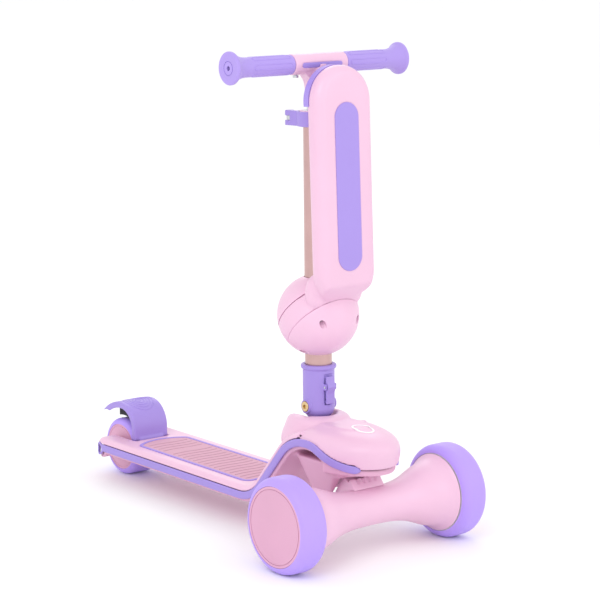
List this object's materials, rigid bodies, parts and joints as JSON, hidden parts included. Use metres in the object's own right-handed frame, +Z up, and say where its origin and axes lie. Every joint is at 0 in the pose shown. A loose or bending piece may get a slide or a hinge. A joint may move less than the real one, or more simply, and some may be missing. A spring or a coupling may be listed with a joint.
{
  "type": "kick scooter",
  "caption": "Three-wheeled child's kick scooter that leans to steer, with a folding stem, a height-adjusting handlebar and a seat that swings down on a ball.",
  "frame": {"origin": "on the ground, midway between the front of the front tyres and the rear tip of the fender, and midway between the wheels", "axes": "+X forward, +Y to the rider's left, +Z up"},
  "size_m": [0.613, 0.2996, 0.6243],
  "materials": {
    "pink_shell": "satin, faintly pearly",
    "pink_pan": "fine grained",
    "lavender_plastic": "satin",
    "lavender_tyre": "smooth cast polyurethane",
    "lavender_grip": "soft, fine grooves",
    "pad_rubber": "matt, ridged",
    "pad_rim_rubber": "matt",
    "wheel_plastic": "plain moulded",
    "rose_gold_tube": "satin metallic",
    "silver_tube": "satin",
    "frame_steel": "black powder coat",
    "zinc_steel": "zinc plated",
    "spring_steel": "bright wire",
    "gold_bolt": "satin plated",
    "brake_rubber": "hard black rubber",
    "cushion_leather": "soft faux leather",
    "white_badge": "printed film"
  },
  "bodies": {
    "deck": {"deck_top_shell": "pink_shell", "deck_bottom_shell": "pink_pan", "deck_trim_right": "lavender_plastic", "deck_trim_left": "lavender_plastic", "grip_pad": "pad_rubber", "grip_pad_rim": "pad_rim_rubber", "deck_frame": "frame_steel", "fold_post": "frame_steel", "rear_axle_bolt": "zinc_steel", "rear_axle_hardware": "zinc_steel", "kingpin": "zinc_steel", "steer_washer": "wheel_plastic", "shell_screws": "zinc_steel", "nose_badge": "white_badge", "brake_pin": "zinc_steel", "brake_spring": "spring_steel"},
    "truck": {"axle_housing": "pink_shell", "steering_block": "pink_shell", "front_axle": "zinc_steel", "front_axle_hardware": "zinc_steel"},
    "front_wheel_left": {"tyre_left": "lavender_tyre", "hub_left": "wheel_plastic", "wheel_cap_left": "pink_shell", "bearings_left": "zinc_steel"},
    "front_wheel_right": {"tyre_right": "lavender_tyre", "hub_right": "wheel_plastic", "wheel_cap_right": "pink_shell", "bearings_right": "zinc_steel"},
    "rear_wheel": {"rear_tyre": "lavender_tyre", "rear_hub": "wheel_plastic", "rear_wheel_discs": "pink_shell", "rear_bearings": "zinc_steel"},
    "rear_brake": {"rear_fender": "lavender_plastic", "brake_pad": "brake_rubber"},
    "stem": {"collar": "lavender_plastic", "fold_bolt": "gold_bolt", "stem_pins": "zinc_steel", "latch_spring": "spring_steel", "outer_tube": "rose_gold_tube", "tube_bush": "wheel_plastic", "clamp_collar": "pink_shell", "clamp_bolt": "zinc_steel", "ball_lower_shell": "pink_shell", "ball_upper_cap": "pink_shell", "swivel_hub": "wheel_plastic", "ball_screws": "zinc_steel"},
    "latch": {"latch_lever": "lavender_plastic"},
    "clamp": {"clamp_lever": "lavender_plastic"},
    "handlebar": {"inner_tube": "silver_tube", "tube_guide": "wheel_plastic", "bar_bracket": "pink_shell", "bracket_inlay": "lavender_plastic", "handlebar_tube": "silver_tube", "bracket_screw": "zinc_steel", "grip_left": "lavender_grip", "grip_right": "lavender_grip"},
    "seat": {"seat_shell": "pink_shell", "seat_panel": "lavender_plastic", "seat_cushion": "cushion_leather", "seat_crescent": "lavender_plastic"}
  },
  "joints": [
    {"name": "front_wheel_left_spin", "type": "hinge", "parent": "truck", "child": "front_wheel_left", "pos_m": [0.2465, 0.13, 0.06], "axis": [0, 1, 0], "continuous": true},
    {"name": "front_wheel_right_spin", "type": "hinge", "parent": "truck", "child": "front_wheel_right", "pos_m": [0.2465, -0.13, 0.06], "axis": [0, 1, 0], "continuous": true},
    {"name": "rear_wheel_spin", "type": "hinge", "parent": "deck", "child": "rear_wheel", "pos_m": [-0.2665, 0, 0.04], "axis": [0, 1, 0], "continuous": true},
    {"name": "rear_brake_press", "type": "hinge", "parent": "deck", "child": "rear_brake", "pos_m": [-0.2145, 0, 0.049], "axis": [0, 1, 0], "range_deg": [-4.5, 0], "stiffness_Nm_per_rad": 2, "springref_deg": 14.32},
    {"name": "lean_steering", "type": "hinge", "parent": "deck", "child": "truck", "pos_m": [0.2165, 0, 0.088], "axis": [0.5736, 0, 0.8192], "range_deg": [-10, 10], "stiffness_Nm_per_rad": 20},
    {"name": "stem_fold", "type": "hinge", "parent": "deck", "child": "stem", "pos_m": [0.1482, 0, 0.173], "axis": [0, 1, 0], "range_deg": [-90, 0]},
    {"name": "latch_press", "type": "hinge", "parent": "stem", "child": "latch", "pos_m": [0.17044, 0, 0.19931], "axis": [0, -1, 0], "range_deg": [0, 7], "stiffness_Nm_per_rad": 0.1, "springref_deg": -11.46},
    {"name": "clamp_lever_open", "type": "hinge", "parent": "stem", "child": "clamp", "pos_m": [0.11213, -0.018, 0.53553], "axis": [0.014, 0, -0.9999], "range_deg": [0, 120]},
    {"name": "handlebar_height", "type": "slide", "parent": "stem", "child": "handlebar", "axis": [-0.014, 0, 0.9999], "range_m": [-0.014, 0.1]},
    {"name": "seat_swing", "type": "hinge", "parent": "stem", "child": "seat", "pos_m": [0.14659, 0, 0.28849], "axis": [-0.7242, 0, 0.6896], "range_deg": [0, 180]}
  ]
}
